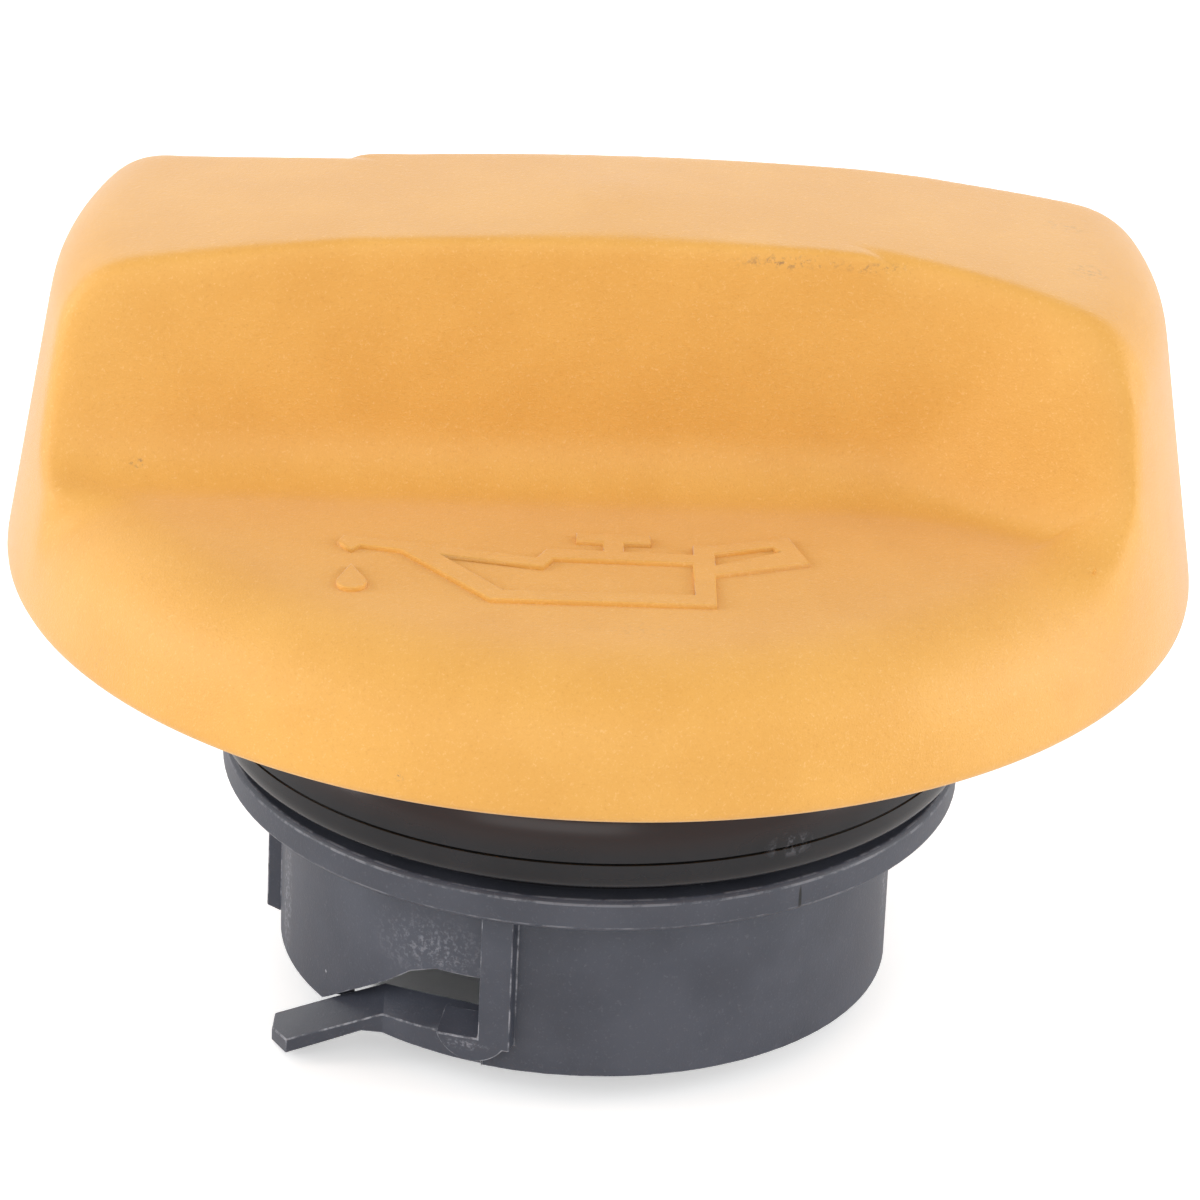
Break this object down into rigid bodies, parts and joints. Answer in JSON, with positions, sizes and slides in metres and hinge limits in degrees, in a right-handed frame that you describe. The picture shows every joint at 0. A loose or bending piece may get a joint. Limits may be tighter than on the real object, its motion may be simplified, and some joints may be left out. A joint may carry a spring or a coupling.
{
  "type": "oil filler cap",
  "caption": "Engine oil filler cap: hollow moulded knob with a full-width grip and thumb flares, over a black bayonet plug with springy latch arms and a rubber lip seal.",
  "frame": {"origin": "on the cap's axis, at the height of the latch arms' tips, which are its lowest points", "axes": "+Z along the cap's axis towards the grip, +X along the grip"},
  "size_m": [0.0654, 0.0654, 0.0475],
  "materials": {
    "knob_plastic": "fine spark-eroded grain, satin",
    "plug_plastic": "glass-filled nylon, satin",
    "seal_rubber": "smooth, slightly glossy"
  },
  "bodies": {
    "root": {"knob": "knob_plastic", "plug": "plug_plastic", "seal_ring": "seal_rubber"}
  },
  "joints": []
}
